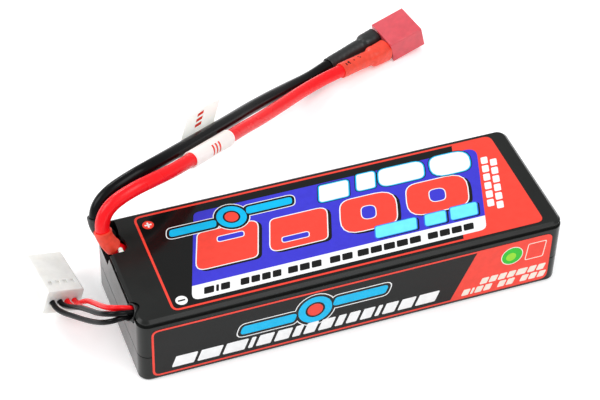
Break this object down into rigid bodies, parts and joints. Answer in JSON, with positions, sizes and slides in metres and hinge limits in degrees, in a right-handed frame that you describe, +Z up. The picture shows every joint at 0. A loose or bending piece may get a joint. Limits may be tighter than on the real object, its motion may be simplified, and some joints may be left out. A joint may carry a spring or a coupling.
{
  "type": "lipo battery pack",
  "caption": "Flat two-cell battery pack in a two-shell hard plastic case, with red and black main leads to a two-blade plug and a four-wire balance lead.",
  "frame": {"origin": "centre of the case's underside", "axes": "+X along the case, away from the end where the leads leave; -Y towards the front label; +Z up through the top label"},
  "size_m": [0.1658, 0.1327, 0.0414],
  "materials": {
    "case": "satin moulded black plastic",
    "pouch": "satin laminated foil",
    "tape": "cloth tape",
    "foam": "closed-cell foam",
    "tab_aluminium": "rolled strip",
    "tab_nickel": "nickel-plated strip",
    "board": "glass-fibre board with solder mask",
    "card": "insulating card",
    "solder": "tin solder",
    "glue": "clear hot-melt glue",
    "label": "glossy printed sticker",
    "red_silicone": "glossy silicone insulation",
    "black_silicone": "glossy silicone insulation",
    "red_shrink": "shrunk sleeve",
    "black_shrink": "shrunk sleeve",
    "red_nylon": "satin moulded nylon",
    "gold": "gold-plated spring contact",
    "tag_vinyl": "white vinyl flag",
    "white_nylon": "natural moulded nylon",
    "tinned": "tin-plated crimp"
  },
  "bodies": {
    "root": {"case_bottom": "case", "case_top": "case", "cell_lower": "pouch", "cell_upper": "pouch", "cell_tape": "tape", "foam_pad_bottom": "foam", "foam_pad_top": "foam", "foam_end_block": "foam", "positive_tabs": "tab_aluminium", "negative_tabs": "tab_nickel", "connection_board": "board", "board_insulator": "card", "series_link": "tab_nickel", "solder_joints": "solder", "glue_bead": "glue", "top_label": "label", "front_label": "label", "rear_label": "label", "red_main_lead": "red_silicone", "black_main_lead": "black_silicone", "red_exit_sleeve": "red_shrink", "black_exit_sleeve": "black_shrink", "red_plug_sleeve": "red_shrink", "black_plug_sleeve": "black_shrink", "plug_housing": "red_nylon", "plug_contact_flat": "gold", "plug_contact_upright": "gold", "lead_tag": "tag_vinyl", "balance_sleeve": "black_shrink", "balance_wire_1": "black_silicone", "balance_wire_2": "black_silicone", "balance_wire_3": "red_silicone", "balance_wire_4": "red_silicone", "balance_housing": "white_nylon", "balance_contacts": "tinned"}
  },
  "joints": []
}
